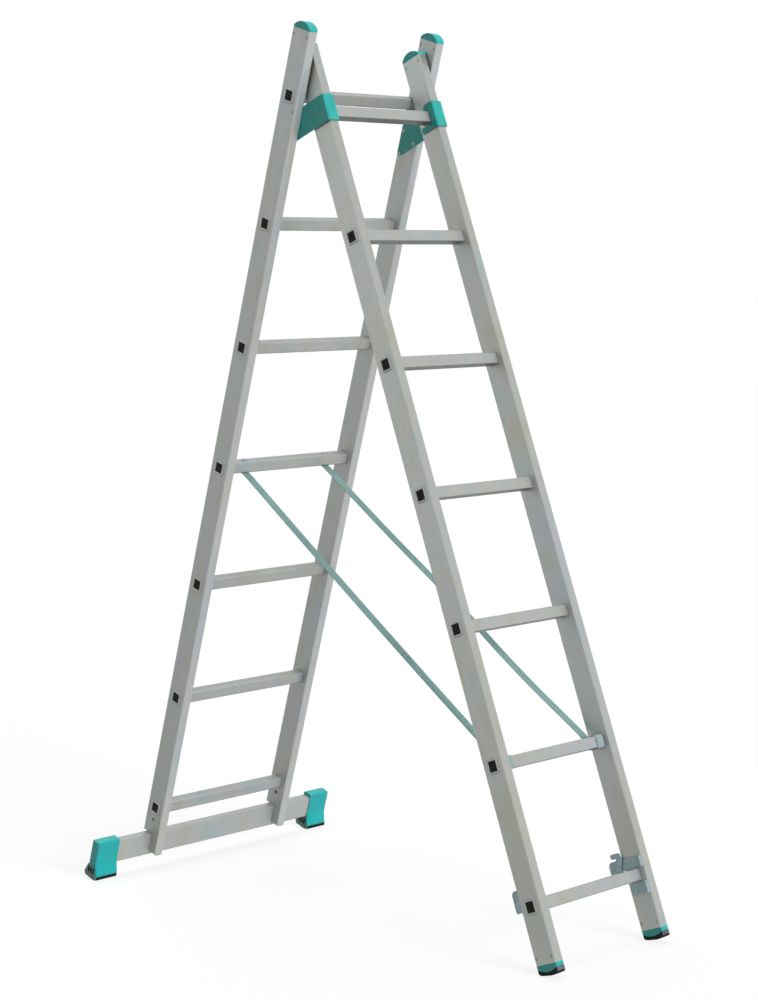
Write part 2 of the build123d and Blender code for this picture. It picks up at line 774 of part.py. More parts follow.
# Hooks: steel plates beside the lowest front rung, notched to hang on a rung of the rear section
hook_gap = rung_size / 2 + bead_lip + hook_rung_gap
notch_rear = nest_offset + rung_size / 2 + hook_notch_room
notch_top = rung_size / 2 + hook_notch_clearance
hook_rear = notch_rear + hook_arm
catch_rear = nest_offset - catch_axis_from_notch
catch_along = notch_top + catch_axis_above_notch
for side_name, sign in sides:
    with BuildPart() as hook_plate:
        with BuildSketch(front_side.offset(sign * hook_face)):
            with Locations((-hook_front, -hook_drop)):
                Rectangle(hook_front + hook_web_rear, hook_drop + hook_rise, align=Align.MIN)
            with Locations((0, notch_top)):
                Rectangle(hook_rear, hook_rise - notch_top, align=Align.MIN)
            with Locations((-hook_front, -hook_gap)):
                Rectangle(hook_front + hook_gap, 2 * hook_gap, align=Align.MIN, mode=Mode.SUBTRACT)
            with Locations((notch_rear, -hook_arm_drop)):
                Rectangle(hook_arm, hook_arm_drop + hook_rise, align=Align.MIN)
        extrude(amount=-sign * hook_sheet)
        arm_edges = hook_plate.edges().filter_by(Axis.X).group_by(front_rear_axis)[-1]
        fillet(arm_edges.sort_by(front_along_axis)[-1], radius=hook_corner)
        arm_edges = hook_plate.edges().filter_by(Axis.X).group_by(front_rear_axis)[-1]
        fillet(arm_edges.sort_by(front_along_axis)[0], radius=hook_arm_corner)
        if sign < 0:
            # The left arm turns inward along the notch.
            with BuildSketch(front_side.offset(sign * hook_face)):
                with Locations((notch_rear, -hook_arm_drop)):
                    Rectangle(hook_sheet, hook_arm_drop + notch_top, align=Align.MIN)
            extrude(amount=-sign * hook_arm_flange)
        else:
            # The right plate turns inward along its front edge, above and below the rung.
            with BuildSketch(front_side.offset(sign * hook_face)):
                with Locations((-hook_front, -hook_drop)):
                    Rectangle(hook_sheet, hook_drop - hook_gap, align=(Align.MAX, Align.MIN))
                with Locations((-hook_front, hook_rise)):
                    Rectangle(hook_sheet, hook_rise - hook_gap, align=Align.MAX)
            extrude(amount=-sign * hook_flange)
        with BuildSketch(front_side.offset(sign * hook_face)):
            with Locations(*hook_rivet_places):
                Circle(rivet_radius + rivet_clearance)
            with Locations((catch_rear, catch_along)):
                Circle(catch_pin_radius)
        extrude(amount=-sign * hook_sheet, mode=Mode.SUBTRACT)
    save(hook_plate, f"hook_plate_{side_name}")


# Safety catch: a thumb lever that turns on a pin beside the right hook, with a tail over the notch
catch_face = hook_face - hook_sheet - catch_gap
finger_along = catch_along + catch_finger_rise
finger_rear = catch_rear - catch_finger_front + (catch_finger_height + catch_finger_length) / 2
tail_width = catch_tail_front + catch_tail_rear
with BuildPart() as safety_catch:
    with BuildSketch(front_side.offset(catch_face)):
        with Locations((catch_rear, catch_along)):
            Circle(catch_hub)
        Polygon(
            (catch_rear - catch_hub, catch_along),
            (catch_rear - catch_neck_front, catch_along + catch_neck_rise),
            (catch_rear - catch_finger_front, finger_along),
            (catch_rear, finger_along),
            (catch_rear + catch_hub, catch_along),
            align=None,
        )
        with Locations((finger_rear, finger_along)):
            SlotCenterToCenter(catch_finger_length, catch_finger_height)
        with Locations((catch_rear - catch_tail_front, catch_along - catch_tail_drop)):
            RectangleRounded(tail_width, catch_tail_drop, catch_tail_corner, align=Align.MIN)
        with Locations((catch_rear, catch_along)):
            Circle(catch_pin_radius + catch_pin_clearance, mode=Mode.SUBTRACT)
    extrude(amount=-catch_sheet)
save(safety_catch, "safety_catch")

with BuildPart() as catch_pin:
    with BuildSketch(front_side.offset(hook_face)):
        with Locations((catch_rear, catch_along)):
            Circle(catch_pin_radius)
    extrude(amount=-(hook_sheet + 2 * catch_gap + catch_sheet))
    for face, outward in ((hook_face, 1), (catch_face - catch_sheet - catch_gap, -1)):
        with BuildSketch(front_side.offset(face)):
            with Locations((catch_rear, catch_along)):
                Circle(catch_pin_head_radius)
        extrude(amount=outward * catch_pin_head_height, taper=rivet_head_taper)
save(catch_pin, "catch_pin")


# Spreader straps: webbing riveted under a rear rung and looped round a front rung
strap_base_along = (strap_base_rung - 1) * rung_pitch
strap_front_along = (strap_front_rung - 1) * rung_pitch
strap_under = strap_base_along - rung_size / 2
loop_size = rung_size + 2 * strap_slack
loop_outside = loop_size + 2 * strap_sheet
start_y, start_z = base_point(strap_sheet - rung_size / 2, strap_under - strap_sheet / 2 - strap_slack)
run_end_along = strap_front_along + rung_size / 2 - rung_corner
end_y, end_z = front_point((loop_size + strap_sheet) / 2 + strap_slack, run_end_along)
run_length = hypot(end_y - start_y, end_z - start_z)
run_y = (end_y - start_y) / run_length
run_z = (end_z - start_z) / run_length
strap_plane = Plane(origin=(0, start_y, start_z), x_dir=(1, 0, 0), z_dir=(0, -run_z, run_y))
for side_name, sign in sides:
    start_x = strap_starts[side_name]
    end_x = strap_ends[side_name]
    loop_x = sign * strap_loop_x
    with BuildPart() as strap:
        with BuildSketch(strap_plane):
            Polygon(
                (start_x - strap_width / 2, 0),
                (start_x + strap_width / 2, 0),
                (end_x + strap_width / 2, run_length),
                (end_x - strap_width / 2, run_length),
                align=None,
            )
        extrude(amount=strap_sheet / 2, both=True)
        with BuildSketch(base_across.offset(strap_under)):
            with Locations((start_x, -rung_size / 2)):
                Rectangle(strap_width, rung_size / 2 + strap_tab_rear, align=(Align.CENTER, Align.MIN))
        extrude(amount=-strap_sheet)
        with BuildSketch(front_side.offset(loop_x - strap_width / 2)):
            with Locations((0, strap_front_along)):
                RectangleRounded(loop_outside, loop_outside, rung_corner + strap_sheet)
                RectangleRounded(loop_size, loop_size, rung_corner, mode=Mode.SUBTRACT)
        extrude(amount=strap_width)
        with BuildSketch(base_across.offset(strap_under)):
            with Locations((start_x, 0)):
                Circle(strap_rivet_radius + rivet_clearance)
        extrude(amount=-2 * strap_sheet, mode=Mode.SUBTRACT)
    save(strap, f"strap_{side_name}")

with BuildPart() as strap_rivets:
    strap_rivet_places = [(x, 0) for x in strap_starts.values()]
    rivet_low = strap_under - strap_sheet
    rivet_high = strap_base_along + rung_size / 2
    with BuildSketch(base_across.offset(rivet_low)):
        with Locations(*strap_rivet_places):
            Circle(strap_rivet_radius)
    extrude(amount=rivet_high - rivet_low)
    with BuildSketch(base_across.offset(rivet_low)):
        with Locations(*strap_rivet_places):
            Circle(strap_rivet_head_radius)
    extrude(amount=-strap_rivet_head_height, taper=rivet_head_taper)
    with BuildSketch(base_across.offset(rivet_high)):
        with Locations(*strap_rivet_places):
            Circle(strap_rivet_head_radius)
    extrude(amount=strap_rivet_head_height, taper=rivet_head_taper)
save(strap_rivets, "strap_rivets")
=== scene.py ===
from math import atan2, cos, pi, radians, sin

import bmesh
import bpy
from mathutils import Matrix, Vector


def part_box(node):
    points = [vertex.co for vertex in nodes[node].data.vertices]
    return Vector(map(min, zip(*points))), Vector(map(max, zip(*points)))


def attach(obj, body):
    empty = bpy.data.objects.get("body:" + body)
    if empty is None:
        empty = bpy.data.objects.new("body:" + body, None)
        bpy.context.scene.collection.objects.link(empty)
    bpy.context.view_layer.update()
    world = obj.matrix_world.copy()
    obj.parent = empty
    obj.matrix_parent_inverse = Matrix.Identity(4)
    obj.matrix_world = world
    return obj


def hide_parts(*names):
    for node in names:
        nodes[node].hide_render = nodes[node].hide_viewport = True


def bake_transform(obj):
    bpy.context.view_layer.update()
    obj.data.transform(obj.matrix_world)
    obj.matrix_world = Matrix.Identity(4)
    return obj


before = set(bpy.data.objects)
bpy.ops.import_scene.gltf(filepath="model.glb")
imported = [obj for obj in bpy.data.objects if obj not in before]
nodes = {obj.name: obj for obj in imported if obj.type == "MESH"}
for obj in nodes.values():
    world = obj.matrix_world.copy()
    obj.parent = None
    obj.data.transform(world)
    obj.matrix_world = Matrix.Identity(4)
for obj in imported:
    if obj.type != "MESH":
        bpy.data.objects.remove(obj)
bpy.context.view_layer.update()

# A two-section aluminium combination ladder, standing opened as a trestle. Lengths are in metres.
sides = ("left", "right")
rung_numbers = range(1, 8)
across = Vector((1, 0, 0))

# Sizes shared with the solids
rung_size = 0.025
strap_width = 0.020
strap_sheet = 0.0016
strap_slack = 0.00025
strap_base_rung = 4
strap_front_rung = 2

# Ends of the stiles, measured along them from the frame's origin
stile_foot = -0.2
stile_head = 1.78

# Camera, matched to the photo
camera_place = (-3.24933, -3.51949, 1.35061)
camera_turn = (86.96367, 0.79225, -45.37768)
camera_lens = 79.7949
camera_shift = (-0.10478, -0.10247)

# Lamps, floor and sky
key_source = (0, -4.2, 1.3)
key_spread = 28
key_light = 2.70
key_colour = (0.985, 0.945, 1.0)
top_source = (0.4, 1.2, 3.8)
top_spread = 45
top_light = 1.06
top_colour = (1.0, 1.0, 1.0)
sky_light = 0.14
white_light = 1.0
floor_size = 60.0
floor_tone = 0.3
floor_glow = 0.79


# The two sections


class Section:
    """A section's own directions, with its origin in the middle of its lowest rung."""

    def __init__(self, name):
        low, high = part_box(f"{name}_rung_1")
        top_low, top_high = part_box(f"{name}_rung_{len(rung_numbers)}")
        self.origin = (low + high) / 2
        span = (top_low + top_high) / 2 - self.origin
        self.along = span.normalized()
        self.rearward = self.along.cross(across)
        self.pitch = span.length / (len(rung_numbers) - 1)
        self.lean = atan2(-self.along.y, self.along.z)

    def point(self, x, rear, along):
        return self.origin + across * x + self.rearward * rear + self.along * along

    def rung(self, number):
        return (number - 1) * self.pitch


base = Section("base")
front = Section("front")


# Node materials

# Most of a noise lies in this range
noise_range = (0.3, 0.7)
# Sockets of a Mix node that mixes colours: the factor and the two colours, and the result
mix_inputs = (0, 6, 7)
mix_output = 2
shelter_samples = 6


def srgb(red, green, blue):
    """A linear colour from 8-bit display values."""
    def linear(value):
        share = value / 255
        return share / 12.92 if share <= 0.04045 else ((share + 0.055) / 1.055) ** 2.4

    return (linear(red), linear(green), linear(blue), 1)


class Graph:
    """A material's node tree around one Principled shader."""

    def __init__(self, name, **shader_values):
        self.material = bpy.data.materials.new(name)
        self.material.use_nodes = True
        self.tree = self.material.node_tree
        self.tree.nodes.clear()
        self.shader = self.add("ShaderNodeBsdfPrincipled")
        output = self.add("ShaderNodeOutputMaterial")
        self.link(self.shader.outputs["BSDF"], output.inputs["Surface"])
        self.feed(self.shader, **shader_values)

    def add(self, kind, **settings):
        node = self.tree.nodes.new(kind)
        for key, value in settings.items():
            setattr(node, key, value)
        return node

    def link(self, source, target):
        self.tree.links.new(source, target)

    def put(self, value, socket):
        """Links a socket to a value that varies, or sets it."""
        if isinstance(value, bpy.types.NodeSocket):
            self.link(value, socket)
        else:
            socket.default_value = value

    def feed(self, node, **inputs):
        """Sets or links a node's inputs by name."""
        for key, value in inputs.items():
            self.put(value, node.inputs[key.replace("_", " ")])
        return node

    def place(self, turn=0.0):
        """Object coordinates turned about X by an angle."""
        source = self.add("ShaderNodeTexCoord").outputs["Object"]
        turned = self.feed(self.add("ShaderNodeMapping"), Vector=source, Rotation=(turn, 0, 0))
        return turned.outputs["Vector"]

    def scaled(self, vector, scale):
        return self.feed(self.add("ShaderNodeMapping"), Vector=vector, Scale=scale).outputs["Vector"]

    def split(self, vector):
        return self.feed(self.add("ShaderNodeSeparateXYZ"), Vector=vector).outputs

    def noise(self, vector, scale, detail=3.0, roughness=0.55):
        node = self.add("ShaderNodeTexNoise")
        self.feed(node, Vector=vector, Scale=scale, Detail=detail, Roughness=roughness)
        return node.outputs["Fac"]

    def cells(self, vector, scale):
        """A colour of its own for each cell of a mosaic."""
        return self.feed(self.add("ShaderNodeTexVoronoi"), Vector=vector, Scale=scale).outputs["Color"]

    def math(self, operation, first, second=0.0):
        node = self.add("ShaderNodeMath", operation=operation)
        for socket, value in zip(node.inputs, (first, second)):
            self.put(value, socket)
        return node.outputs["Value"]

    def times(self, first, second):
        return self.math("MULTIPLY", first, second)

    def sum(self, *shares):
        """A weighted sum of values, given as (value, weight) pairs."""
        total = None
        for value, weight in shares:
            part = self.times(value, weight)
            total = part if total is None else self.math("ADD", total, part)
        return total

    def span(self, value, low, high, from_low=0.0, from_high=1.0):
        """Low to high, as a value goes from from_low to from_high."""
        node = self.add("ShaderNodeMapRange")
        self.feed(node, Value=value, From_Min=from_low, From_Max=from_high, To_Min=low, To_Max=high)
        return node.outputs["Result"]

    def vary(self, noise, low, high):
        """Low to high over most of a noise."""
        return self.span(noise, low, high, *noise_range)

    def ramp(self, value, *stops):
        """A colour ramp, with stops given as (position, colour)."""
        node = self.add("ShaderNodeValToRGB")
        elements = node.color_ramp.elements
        while len(elements) < len(stops):
            elements.new(1)
        for element, (position, colour) in zip(elements, stops):
            element.position = position
            element.color = colour
        self.link(value, node.inputs["Fac"])
        return node.outputs["Color"]

    def mix(self, factor, first, second):
        node = self.add("ShaderNodeMix", data_type="RGBA")
        for index, value in zip(mix_inputs, (factor, first, second)):
            self.put(value, node.inputs[index])
        return node.outputs[mix_output]

    def shelter(self, reach, inside=False):
        """1 where a point is closed in within reach: in nooks, or inside along outer edges."""
        node = self.add("ShaderNodeAmbientOcclusion", inside=inside, only_local=inside)
        node.samples = shelter_samples
        self.feed(node, Distance=reach)
        return self.math("SUBTRACT", 1.0, node.outputs["AO"])

    def facing(self, axis, low, high):
        """0 to 1 as the surface turns from low to high along an axis of its object."""
        normal = self.add("ShaderNodeTexCoord").outputs["Normal"]
        return self.span(self.split(normal)[axis], 0.0, 1.0, low, high)

    def bump(self, height, distance):
        node = self.add("ShaderNodeBump")
        self.feed(node, Height=height, Distance=distance, Strength=1.0)
        return node.outputs["Normal"]

    def finish(self, colour, roughness, normal):
        self.feed(self.shader, Base_Color=colour, Roughness=roughness, Normal=normal)
        return self.material


def aluminium(name, turn, grain, metal, lift, dust=0.0):
    """Mill-finish aluminium: die lines, cloudy oxide thinning upward, stains, scuffs, painted shade in
    nooks and underneath, and paler edges, partly worn and partly a painted highlight.
    """
    def grey(red, green, blue):
        return srgb(red + lift, green + lift, blue + lift)

    graph = Graph(name)
    place = graph.place(turn)
    broad_grain = tuple(share * 0.12 for share in grain)
    lines = graph.noise(graph.scaled(place, grain), scale=1.0, detail=4.0, roughness=0.6)
    streaks = graph.noise(graph.scaled(place, broad_grain), scale=1.0, detail=6.0, roughness=0.7)
    clouds = graph.noise(place, scale=7.0, detail=5.0, roughness=0.6)
    patches = graph.noise(place, scale=2.6)
    stains = graph.noise(graph.scaled(place, (1.0, 1.0, 0.55)), scale=24.0, roughness=0.5)
    grains = graph.noise(place, scale=420.0, detail=2.0)
    scratches = graph.noise(place, scale=34.0, detail=8.0, roughness=0.8)

    tone = graph.sum((lines, 0.26), (clouds, 0.42), (grains, 0.10), (streaks, 0.22))
    shade = graph.ramp(
        tone,
        (0.30, grey(168, 170, 167)),
        (0.50, grey(187, 188, 187)),
        (0.70, grey(202, 202, 203)),
    )
    tint = graph.ramp(patches, (0.36, grey(182, 188, 170)), (0.64, grey(183, 191, 194)))
    colour = graph.mix(0.45, shade, tint)
    scuffs = graph.span(scratches, 0.0, 0.35, 0.62, 0.78)
    colour = graph.mix(scuffs, colour, grey(156, 158, 154))
    warm = graph.span(stains, 0.0, 0.5, 0.54, 0.70)
    colour = graph.mix(warm, colour, grey(178, 179, 156))
    cool = graph.span(stains, 0.5, 0.0, 0.30, 0.46)
    colour = graph.mix(cool, colour, grey(163, 187, 188))
    # Painted shade: points closed in by nearby surfaces, at joints, gaps and dents, are darkened.
    nooks = graph.times(graph.shelter(0.006), 0.35)
    colour = graph.mix(nooks, colour, srgb(84, 86, 80))
    # Painted shade: faces that look down are darkened.
    under = graph.times(graph.facing("Z", -0.42, -0.75), 0.6)
    colour = graph.mix(under, colour, srgb(70, 73, 72))
    if dust:
        settled = graph.times(graph.facing("Z", 0.5, 0.9), graph.vary(patches, dust * 0.6, dust))
        colour = graph.mix(settled, colour, srgb(132, 136, 134))
    # Paler outer edges: partly worn metal, partly a painted highlight along rounded edges.
    edge_wear_and_highlight = graph.times(graph.shelter(0.0010, inside=True), graph.vary(streaks, 0.05, 0.4))
    colour = graph.mix(edge_wear_and_highlight, colour, srgb(205, 207, 205))

    height = graph.split(place)["Z"]
    graph.feed(graph.shader, Metallic=graph.span(height, *metal, stile_foot, stile_head))
    roughness = graph.vary(graph.sum((clouds, 0.6), (streaks, 0.4)), 0.42, 0.60)
    return graph.finish(colour, roughness, graph.bump(graph.sum((lines, 0.6), (grains, 0.4)), 0.0001))


def moulded(name, dark, middle, light, roughness, gloss):
    """Moulded plastic with a fine spark texture, faint flow clouds and paler edges, partly worn and
    partly a painted highlight.
    """
    graph = Graph(name, Specular_IOR_Level=gloss)
    place = graph.place()
    clouds = graph.noise(place, scale=18.0, detail=4.0)
    grains = graph.noise(place, scale=900.0, detail=2.0)
    specks = graph.noise(place, scale=140.0, detail=5.0, roughness=0.7)
    tone = graph.sum((clouds, 0.55), (grains, 0.20), (specks, 0.25))
    shade = graph.ramp(tone, (0.34, dark), (0.50, middle), (0.66, light))
    # Paler outer edges: partly worn plastic, partly a painted highlight along rounded edges.
    edge_wear_and_highlight = graph.times(graph.shelter(0.0012, inside=True), graph.vary(specks, 0.1, 0.9))
    colour = graph.mix(edge_wear_and_highlight, shade, light)
    rough = graph.vary(clouds, roughness - 0.06, roughness + 0.08)
    return graph.finish(colour, rough, graph.bump(graph.sum((grains, 0.6), (specks, 0.4)), 0.0001))


def painted(name):
    """Powder-coated sheet: orange peel, cloudy cover and paler edges, partly coat worn thin and partly a
    painted highlight.
    """
    graph = Graph(name, Specular_IOR_Level=0.6)
    place = graph.place()
    clouds = graph.noise(place, scale=30.0, detail=5.0, roughness=0.65)
    peel = graph.noise(place, scale=520.0, detail=2.0)
    specks = graph.noise(place, scale=210.0, detail=6.0, roughness=0.75)
    coat = graph.ramp(
        graph.sum((clouds, 0.6), (specks, 0.4)),
        (0.30, srgb(18, 158, 148)),
        (0.50, srgb(34, 176, 164)),
        (0.70, srgb(62, 192, 181)),
    )
    # Paler outer edges: partly coat worn thin, partly a painted highlight along rounded edges.
    thin = graph.span(specks, 0.0, 0.8, 0.45, 0.75)
    edge_wear_and_highlight = graph.times(graph.shelter(0.0014, inside=True), thin)
    colour = graph.mix(edge_wear_and_highlight, coat, srgb(140, 196, 188))
    return graph.finish(colour, graph.vary(clouds, 0.34, 0.50), graph.bump(peel, 0.00012))


def rubber(name, end_light_share):
    """Black rubber with grey on the faces that look up, partly dust and partly a painted sheen, and pale
    teal light painted on the end faces.
    """
    graph = Graph(name, Specular_IOR_Level=0.15)
    place = graph.place()
    patches = graph.noise(place, scale=55.0, detail=6.0, roughness=0.7)
    grains = graph.noise(place, scale=800.0)
    black = graph.ramp(
        graph.sum((patches, 0.7), (grains, 0.3)),
        (0.35, srgb(20, 23, 24)),
        (0.55, srgb(30, 34, 35)),
        (0.75, srgb(58, 64, 64)),
    )
    # Painted light: the end faces, which stand in shade, are painted pale teal.
    ends = graph.math("ADD", graph.facing("X", -0.5, -0.9), graph.facing("X", 0.5, 0.9))
    painted_end_light = graph.times(ends, graph.vary(patches, end_light_share * 0.7, end_light_share))
    colour = graph.mix(painted_end_light, black, srgb(172, 206, 203))
    # Grey on the faces that look up: partly dust, partly a painted sheen.
    upward = graph.times(graph.facing("Z", 0.05, 0.5), 0.9)
    dust = graph.times(upward, graph.vary(patches, 0.5, 1.0))
    colour = graph.mix(dust, colour, srgb(152, 162, 163))
    return graph.finish(colour, graph.vary(patches, 0.62, 0.85), graph.bump(grains, 0.0002))


def zinc(name, metal, dark, light):
    """Zinc-plated steel: small spangle, brushed scratches, dull spots, painted shade in nooks, and front
    faces painted pale as a highlight and made more metallic.
    """
    graph = Graph(name)
    place = graph.place()
    spangle = graph.cells(place, 160.0)
    scratches = graph.noise(graph.scaled(place, (900, 90, 900)), scale=1.0)
    clouds = graph.noise(place, scale=45.0, detail=5.0, roughness=0.6)
    tone = graph.sum((spangle, 0.12), (scratches, 0.28), (clouds, 0.6))
    plate = graph.ramp(tone, (0.26, dark), (0.74, light))
    # Painted shade: points closed in by nearby surfaces are darkened.
    nooks = graph.times(graph.shelter(0.003), 0.2)
    shaded = graph.mix(nooks, plate, srgb(46, 52, 50))
    # Painted highlight: faces that look to the front are painted pale and made more metallic.
    painted_front_highlight = graph.facing("Y", -0.5, -0.85)
    colour = graph.mix(painted_front_highlight, shaded, srgb(164, 190, 196))
    graph.feed(graph.shader, Metallic=graph.span(painted_front_highlight, *metal))
    return graph.finish(colour, graph.vary(clouds, 0.32, 0.50), graph.bump(scratches, 0.00008))


warp_width = 0.0011
weft_width = 0.0016


def webbing(name, dark, middle, light):
    """Woven polyester tape: a twill of warp and weft ridges with darker valleys."""
    graph = Graph(name, Sheen_Weight=0.25, Sheen_Roughness=0.4)
    place = graph.place()
    weave = graph.split(graph.add("ShaderNodeAttribute", attribute_name="weave").outputs["Vector"])
    warp_turn = 2 * pi / warp_width
    weft_turn = 2 * pi / weft_width
    warp = graph.math("SINE", graph.times(weave["X"], warp_turn))
    weft = graph.math("SINE", graph.sum((weave["X"], weft_turn), (weave["Y"], weft_turn)))
    ridges = graph.span(graph.sum((warp, 0.4), (weft, 0.6)), 0.0, 1.0, -1.0, 1.0)
    fuzz = graph.noise(place, scale=300.0, detail=4.0)
    soil = graph.noise(place, scale=12.0, detail=4.0)
    tone = graph.sum((ridges, 0.42), (fuzz, 0.2), (soil, 0.38))
    colour = graph.ramp(tone, (0.20, dark), (0.50, middle), (0.80, light))
    return graph.finish(colour, graph.span(fuzz, 0.72, 0.92), graph.bump(ridges, 0.00025))


upright_grain = (700, 700, 4)
level_grain = (4, 700, 700)

materials = {
    # Painted light: the base stiles are lifted 13 levels above the front ones, a lighter copy of the same
    # aluminium for fronts that tilt down from the lamps.
    "base_stile": aluminium(
        "aluminium_base", turn=-base.lean, grain=upright_grain, metal=(0.26, 0.46), lift=13
    ),
    "front_stile": aluminium(
        "aluminium_front", turn=-front.lean, grain=upright_grain, metal=(0.58, 0.92), lift=-1
    ),
    "rung": aluminium("aluminium_rung", turn=0.0, grain=level_grain, metal=(0.53, 0.55), lift=-3),
    "bar": aluminium(
        "aluminium_bar", turn=0.0, grain=level_grain, metal=(0.56, 0.60), lift=4, dust=0.5
    ),
    "cap": moulded(
        "green_plastic",
        dark=srgb(4, 164, 156),
        middle=srgb(14, 180, 172),
        light=srgb(44, 194, 186),
        roughness=0.42,
        gloss=0.65,
    ),
    "pad": moulded(
        "green_pad_plastic",
        dark=srgb(4, 166, 162),
        middle=srgb(12, 180, 177),
        light=srgb(40, 194, 190),
        roughness=0.45,
        gloss=0.65,
    ),
    "bracket": painted("green_paint"),
    "plug": moulded(
        "black_plastic",
        dark=srgb(12, 13, 14),
        middle=srgb(20, 21, 22),
        light=srgb(34, 36, 37),
        roughness=0.55,
        gloss=0.15,
    ),
    "rubber": rubber("black_rubber", end_light_share=0.02),
    # The stabiliser soles carry painted light on their end faces.
    "sole": rubber("rubber_painted_light_ends", end_light_share=0.95),
    "steel": zinc(
        "zinc_steel", metal=(0.38, 0.92), dark=srgb(134, 162, 164), light=srgb(174, 200, 202)
    ),
    "rivet": zinc(
        "bright_rivets", metal=(0.80, 0.92), dark=srgb(118, 127, 124), light=srgb(172, 180, 178)
    ),
    "webbing": webbing(
        "strap_webbing",
        dark=srgb(103, 147, 142),
        middle=srgb(131, 174, 168),
        light=srgb(159, 197, 193),
    ),
    # Painted light: a paler copy of the strap webbing, lighter as if lit head-on.
    "loop": webbing(
        "loop_webbing_painted_lighter",
        dark=srgb(128, 154, 154),
        middle=srgb(158, 178, 179),
        light=srgb(186, 202, 203),
    ),
}


def dress(name, material):
    """Gives a CAD node its finish."""
    node = nodes[name]
    if not node.material_slots:
        node.data.materials.append(material)
    for slot in node.material_slots:
        slot.material = material


for section in ("base", "front"):
    for number in rung_numbers:
        dress(f"{section}_rung_{number}", materials["rung"])
    dress(f"{section}_rung_plugs", materials["plug"])
    for side in sides:
        dress(f"{section}_stile_{side}", materials[f"{section}_stile"])
        dress(f"{section}_cap_{side}", materials["cap"])
for side in sides:
    dress(f"front_foot_{side}", materials["cap"])
    dress(f"front_sole_{side}", materials["rubber"])
    dress(f"stabiliser_foot_{side}", materials["pad"])
    dress(f"stabiliser_sole_{side}", materials["sole"])
    dress(f"guide_bracket_{side}", materials["bracket"])
    dress(f"hook_plate_{side}", materials["steel"])
dress("stabiliser_bar", materials["bar"])
for name in ("stabiliser_bolts", "stabiliser_anchors", "safety_catch", "catch_pin"):
    dress(name, materials["steel"])
for name in ("guide_rivets", "hook_rivets", "strap_rivets"):
    dress(name, materials["rivet"])


# Spreader straps


def rounded(angle, power):
    """A point of a rounded square of half-size 1, for an angle round it."""
    def share(value):
        return abs(value) ** power * (1 if value >= 0 else -1)

    return share(cos(angle)), share(sin(angle))


tape_sides = 28
tape_power = 0.35
tape_outline = [rounded(2 * pi * (step + 0.5) / tape_sides, tape_power) for step in range(tape_sides)]


def spline_points(name, route, steps):
    """Points along the smooth line that has the route as its control points."""
    data = bpy.data.curves.new(name, "CURVE")
    data.dimensions = "3D"
    spline = data.splines.new("NURBS")
    spline.points.add(len(route) - 1)
    for control, place in zip(spline.points, route):
        control.co = (*place, 1)
    spline.order_u = 3
    spline.use_endpoint_u = True
    spline.resolution_u = steps
    line = bpy.data.objects.new(name, data)
    mesh = bpy.data.meshes.new_from_object(line)
    points = [vertex.co.copy() for vertex in mesh.vertices]
    bpy.data.objects.remove(line)
    bpy.data.curves.remove(data)
    bpy.data.meshes.remove(mesh)
    return points


def tape_rings(mesh, points, closed):
    """Rings of vertices round a line, each vertex with its place in the weave."""
    weave = mesh.verts.layers.float_vector.new("weave")
    last = len(points) - 1
    rings = []
    travelled = 0.0
    for index, point in enumerate(points):
        before = points[index - 1] if closed or index > 0 else point
        after = points[(index + 1) % len(points)] if closed or index < last else point
        if index > 0:
            travelled += (point - points[index - 1]).length
        outward = (after - before).normalized().cross(across).normalized()
        ring = []
        for wide, thick in tape_outline:
            aside = wide * strap_width / 2
            vertex = mesh.verts.new(point + across * aside + outward * (thick * strap_sheet / 2))
            vertex[weave] = (aside, travelled, 0)
            ring.append(vertex)
        rings.append(ring)
    return rings


def sweep_tape(name, points, closed, material):
    """A flat woven tape along a line, with its width along X."""
    mesh = bmesh.new()
    rings = tape_rings(mesh, points, closed)
    for ring, following in zip(rings, rings[1:] + rings[:1] if closed else rings[1:]):
        for step in range(tape_sides):
            other = (step + 1) % tape_sides
            mesh.faces.new((ring[step], ring[other], following[other], following[step]))
    if not closed:
        mesh.faces.new(reversed(rings[0]))
        mesh.faces.new(rings[-1])
    bmesh.ops.recalc_face_normals(mesh, faces=mesh.faces)
    for face in mesh.faces:
        face.smooth = True
    data = bpy.data.meshes.new(name)
    mesh.to_mesh(data)
    mesh.free()
    tape = bpy.data.objects.new(name, data)
    bpy.context.scene.collection.objects.link(tape)
    data.materials.append(material)
    return tape


tab_rear = 0.009
tab_corner = rung_size / 2 - strap_sheet
loop_half = rung_size / 2 + strap_slack + strap_sheet / 2
loop_power = 0.28
loop_steps = 72
seam_low = -0.007
seam_gap = 0.0002
run_sag = 0.004
run_steps = 60
run_shifts = {"left": 0.0, "right": -0.0086}
run_ripples = {"left": Vector((0, 0, 0)), "right": Vector((0.003, 0, 0.003))}


def strap_route(start_x, end_x, ripple):
    """The tape's control points from under the rear rung to the seam on the loop."""
    under = base.rung(strap_base_rung) - rung_size / 2 - strap_sheet / 2 - strap_slack
    back = loop_half + strap_sheet + seam_gap
    seat = front.rung(strap_front_rung)
    start = base.point(start_x, -tab_corner, under)
    end = front.point(end_x, back, seat + rung_size / 2)
    run = end - start
    lower = Vector((0, 0, -1))
    return start, end, [
        base.point(start_x, tab_rear, under),
        base.point(start_x, 0, under),
        start,
        start + run * 0.03,
        start + run * 0.28 + lower * run_sag * 0.8,
        start + run * 0.52 + lower * run_sag + ripple,
        start + run * 0.76 + lower * run_sag * 0.7 - ripple,
        start + run * 0.97,
        end,
        front.point(end_x, back, seat),
        front.point(end_x, back, seat + seam_low),
    ]


def strap_spread(side):
    """Where a strap's upper end and its loop lie across the ladder."""
    low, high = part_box(f"strap_{side}")
    right_end = high.x - strap_width / 2
    left_end = low.x + strap_width / 2
    return (right_end, left_end) if side == "left" else (left_end, right_end)


